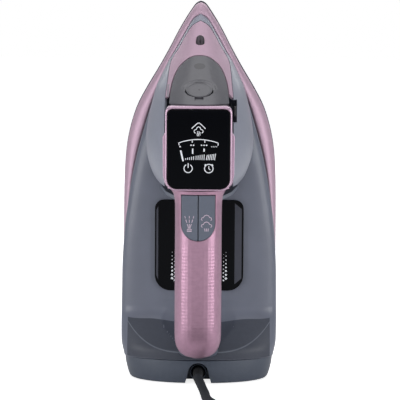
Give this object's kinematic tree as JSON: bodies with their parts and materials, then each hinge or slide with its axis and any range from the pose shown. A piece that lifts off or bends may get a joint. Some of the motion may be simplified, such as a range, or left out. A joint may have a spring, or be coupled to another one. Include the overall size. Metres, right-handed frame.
{
  "type": "clothes iron",
  "caption": "Steam iron standing on its heel, with a pink and grey body, touch display head, spray and steam keys, filler cap and a textile mains cord.",
  "frame": {"origin": "middle of the iron's box at the bottom of the heel, on the surface it stands on", "axes": "+Z from heel to tip, handle and display face -Y, soleplate faces +Y, +X across the iron"},
  "size_m": [0.1208, 0.3333, 0.291],
  "materials": {
    "black_plastic": "fine satin",
    "board_green": "solder mask",
    "brass_pins": "nickel plated brass",
    "cast_aluminium": "as cast",
    "cord_textile": "braided charcoal textile",
    "cream_plastic": "moulded",
    "display_black": "glossy black glass",
    "element_steel": "drawn tube",
    "heel_grey": "dark grey, satin",
    "key_grey": "satin grey",
    "pink_bright": "bright rose metallic lacquer",
    "pink_grip": "rose metallic with fine diamond relief",
    "pink_metallic": "pearl rose metallic lacquer",
    "plated_steel": "bright zinc plate",
    "plug_black": "satin moulded",
    "rubber_black": "matte",
    "shoulder_grey": "light grey, satin gloss",
    "silicone": "soft matte silicone",
    "smoke_cover": "smoke translucent, glossy",
    "sole_coated": "smooth ceramic coated sole",
    "tank_grey": "smoke grey translucent, glossy"
  },
  "bodies": {
    "body": {"soleplate": "sole_coated", "steam_chamber": "cast_aluminium", "chamber_gasket": "silicone", "chamber_lid": "cast_aluminium", "heating_element": "element_steel", "element_terminals": "plated_steel", "thermal_fuse": "cream_plastic", "temperature_sensor": "cream_plastic", "soleplate_screws": "plated_steel", "skirt": "pink_metallic", "water_tank": "tank_grey", "drip_valve": "cream_plastic", "valve_needle": "plated_steel", "filler_neck": "heel_grey", "shoulder_frame": "shoulder_grey", "nose_cover": "pink_metallic", "nozzle_body": "heel_grey", "nozzle_tip": "black_plastic", "front_cover": "smoke_cover", "cap_bracket": "heel_grey", "cap_pin": "plated_steel", "cover_lock": "black_plastic", "display_bezel": "pink_bright", "display_glass": "display_black", "display_board": "board_green", "display_tray": "heel_grey", "handle_top": "pink_grip", "handle_base": "heel_grey", "spray_spring": "plated_steel", "steam_spring": "plated_steel", "pump_barrels": "cream_plastic", "spray_hose": "silicone", "steam_hose": "silicone", "deck_panel": "display_black", "control_board": "board_green", "tilt_sensor": "black_plastic", "wiring_loom": "silicone", "handle_screws": "plated_steel", "heel_cover": "heel_grey", "heel_pads": "rubber_black", "heel_screws": "plated_steel", "terminal_block": "cream_plastic", "cord_clamp": "black_plastic", "cord_gland": "heel_grey", "cord_lead": "cord_textile", "cord": "cord_textile", "cord_coil": "cord_textile", "coil_tie": "black_plastic", "cord_end": "cord_textile", "plug_body": "plug_black", "plug_pins": "brass_pins"},
    "filler_cap": {"filler_cap": "smoke_cover"},
    "spray_key": {"spray_key": "key_grey", "spray_piston": "cream_plastic"},
    "steam_key": {"steam_key": "key_grey", "steam_piston": "cream_plastic"},
    "steam_lever": {"steam_lever": "black_plastic"},
    "cord_swivel": {"cord_ball": "black_plastic", "cord_guard": "cord_textile"}
  },
  "joints": [
    {"name": "cap_hinge", "type": "hinge", "parent": "body", "child": "filler_cap", "pos_m": [0, -0.05429, 0.21939], "axis": [1, 0, 0], "range_deg": [0, 95]},
    {"name": "spray_press", "type": "slide", "parent": "body", "child": "spray_key", "axis": [0, 1, 0], "range_m": [0, 0.002], "stiffness_N_per_m": 600, "springref_m": -0.001, "deforming": ["spray_spring"]},
    {"name": "steam_press", "type": "slide", "parent": "body", "child": "steam_key", "axis": [0, 1, 0], "range_m": [0, 0.002], "stiffness_N_per_m": 600, "springref_m": -0.001, "deforming": ["steam_spring"]},
    {"name": "lever_slide", "type": "slide", "parent": "body", "child": "steam_lever", "axis": [0, 0, 1], "range_m": [-0.004, 0.004]},
    {"name": "cord_turn", "type": "hinge", "parent": "body", "child": "cord_swivel", "pos_m": [0, 0.0025, 0.0084], "axis": [0, 0, 1], "range_deg": [-18, 18], "deforming": ["cord_lead"]}
  ]
}
